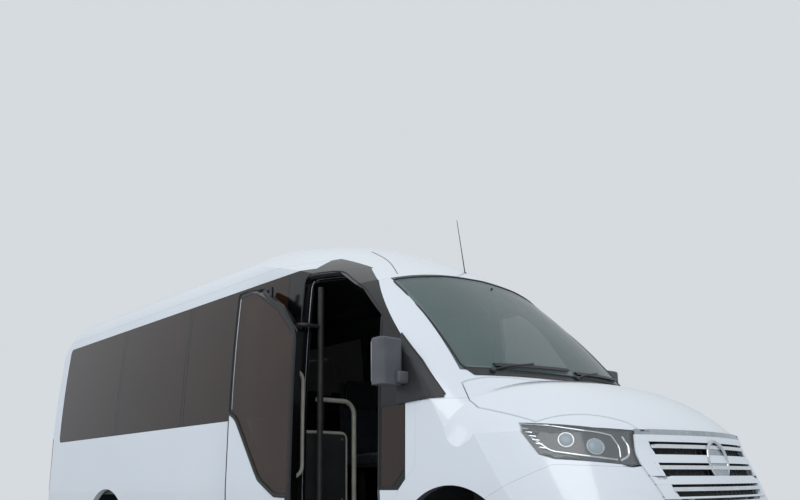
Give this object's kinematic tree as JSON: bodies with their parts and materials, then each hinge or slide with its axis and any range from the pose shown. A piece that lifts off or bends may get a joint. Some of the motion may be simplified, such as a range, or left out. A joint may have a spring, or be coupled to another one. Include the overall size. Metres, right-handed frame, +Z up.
{
  "type": "minibus",
  "caption": "High-roof minibus on a large van body with an outward-swinging entry door, hinged cab, bonnet and rear doors, steered front wheels and twin rear wheels.",
  "frame": {"origin": "on the floor under the middle of the body", "axes": "+X forward, +Y to the driver's side (left), +Z up"},
  "size_m": [6.967, 2.345, 2.7348],
  "materials": {
    "white_paint": "gloss white enamel",
    "lamp_lens": "clear moulded polycarbonate",
    "tail_lens": "red moulded acrylic",
    "windscreen_glass": "pale green laminated glass",
    "dark_glass": "dark tinted glass",
    "black_plastic": "grained black moulding",
    "silver_trim": "satin bright trim",
    "chassis_steel": "black chassis paint",
    "engine_iron": "cast",
    "tank_plastic": "moulded",
    "floor_covering": "ribbed rubber",
    "handrail_paint": "satin grey enamel",
    "seat_fabric": "woven seat cloth",
    "tyre": "rubber",
    "wheel_steel": "silver wheel paint"
  },
  "bodies": {
    "body": {"headlamps": "lamp_lens", "front_bumper": "white_paint", "grille": "white_paint", "wings": "white_paint", "windscreen": "windscreen_glass", "front_frame": "white_paint", "roof": "white_paint", "entry_surround": "white_paint", "fixed_pane": "windscreen_glass", "sill_left": "white_paint", "side_left": "white_paint", "side_right": "white_paint", "side_glass": "dark_glass", "tail_lamps": "tail_lens", "rear_frame": "white_paint", "front_axle": "chassis_steel", "rear_axle": "chassis_steel", "chassis": "chassis_steel", "engine": "engine_iron", "drive_shaft": "chassis_steel", "fuel_tank": "tank_plastic", "exhaust": "chassis_steel", "floor": "floor_covering", "entry_steps": "floor_covering", "partition": "black_plastic", "handrails": "handrail_paint", "mirror_right": "black_plastic", "antenna": "black_plastic", "nose_trim": "silver_trim", "wipers": "black_plastic", "rear_bumper": "black_plastic", "dashboard": "tank_plastic", "steering_wheel": "black_plastic", "driver_seat": "seat_fabric", "passenger_seats": "seat_fabric"},
    "bonnet": {"bonnet": "white_paint"},
    "driver_door": {"driver_door": "white_paint", "driver_door_glass": "windscreen_glass", "mirror_left": "black_plastic"},
    "entry_arm": {"entry_door_arm": "chassis_steel"},
    "entry_leaf": {"entry_door": "white_paint", "entry_door_glass": "dark_glass"},
    "rear_door_right": {"rear_door_right": "white_paint", "rear_door_glass_right": "dark_glass"},
    "rear_door_left": {"rear_door_left": "white_paint", "rear_door_glass_left": "dark_glass"},
    "knuckle_right": {"knuckle_right": "chassis_steel"},
    "knuckle_left": {"knuckle_left": "chassis_steel"},
    "front_wheel_right": {"front_tyre_right": "tyre", "front_rim_right": "wheel_steel"},
    "front_wheel_left": {"front_tyre_left": "tyre", "front_rim_left": "wheel_steel"},
    "rear_wheels_right": {"rear_tyres_right": "tyre", "rear_rims_right": "wheel_steel"},
    "rear_wheels_left": {"rear_tyres_left": "tyre", "rear_rims_left": "wheel_steel"}
  },
  "joints": [
    {"name": "bonnet_hinge", "type": "hinge", "parent": "body", "child": "bonnet", "pos_m": [2.4535, 0, 1.4], "axis": [0, -1, 0], "range_deg": [0, 50]},
    {"name": "driver_door_hinge", "type": "hinge", "parent": "body", "child": "driver_door", "pos_m": [2.1835, 0.984, 0.9], "axis": [0, 0, -1], "range_deg": [0, 70]},
    {"name": "entry_arm_turn", "type": "hinge", "parent": "body", "child": "entry_arm", "pos_m": [1.1885, -0.87, 1], "axis": [0, 0, 1], "range_deg": [0, 147.31]},
    {"name": "entry_leaf_turn", "type": "hinge", "parent": "entry_arm", "child": "entry_leaf", "pos_m": [0.8743, -1.03, 1], "axis": [0, 0, 1], "range_deg": [-147.31, 0]},
    {"name": "rear_door_right_hinge", "type": "hinge", "parent": "body", "child": "rear_door_right", "pos_m": [-3.4715, -0.815, 1.2], "axis": [0, 0, 1], "range_deg": [0, 180]},
    {"name": "rear_door_left_hinge", "type": "hinge", "parent": "body", "child": "rear_door_left", "pos_m": [-3.4715, 0.815, 1.2], "axis": [0, 0, -1], "range_deg": [0, 180]},
    {"name": "steer_right", "type": "hinge", "parent": "body", "child": "knuckle_right", "pos_m": [2.4795, -0.7, 0.356], "axis": [0, 0, 1], "range_deg": [-34, 34]},
    {"name": "steer_left", "type": "hinge", "parent": "body", "child": "knuckle_left", "pos_m": [2.4795, 0.7, 0.356], "axis": [0, 0, 1], "range_deg": [-34, 34]},
    {"name": "front_wheel_right_spin", "type": "hinge", "parent": "knuckle_right", "child": "front_wheel_right", "pos_m": [2.4795, -0.855, 0.356], "axis": [0, 1, 0], "continuous": true},
    {"name": "front_wheel_left_spin", "type": "hinge", "parent": "knuckle_left", "child": "front_wheel_left", "pos_m": [2.4795, 0.855, 0.356], "axis": [0, 1, 0], "continuous": true},
    {"name": "rear_wheels_right_spin", "type": "hinge", "parent": "body", "child": "rear_wheels_right", "pos_m": [-1.8455, -0.75, 0.356], "axis": [0, 1, 0], "continuous": true},
    {"name": "rear_wheels_left_spin", "type": "hinge", "parent": "body", "child": "rear_wheels_left", "pos_m": [-1.8455, 0.75, 0.356], "axis": [0, 1, 0], "continuous": true}
  ],
  "couplings": [
    {"joint": "entry_leaf_turn", "follows": "entry_arm_turn", "ratio": -1},
    {"joint": "steer_left", "follows": "steer_right", "ratio": 1}
  ]
}
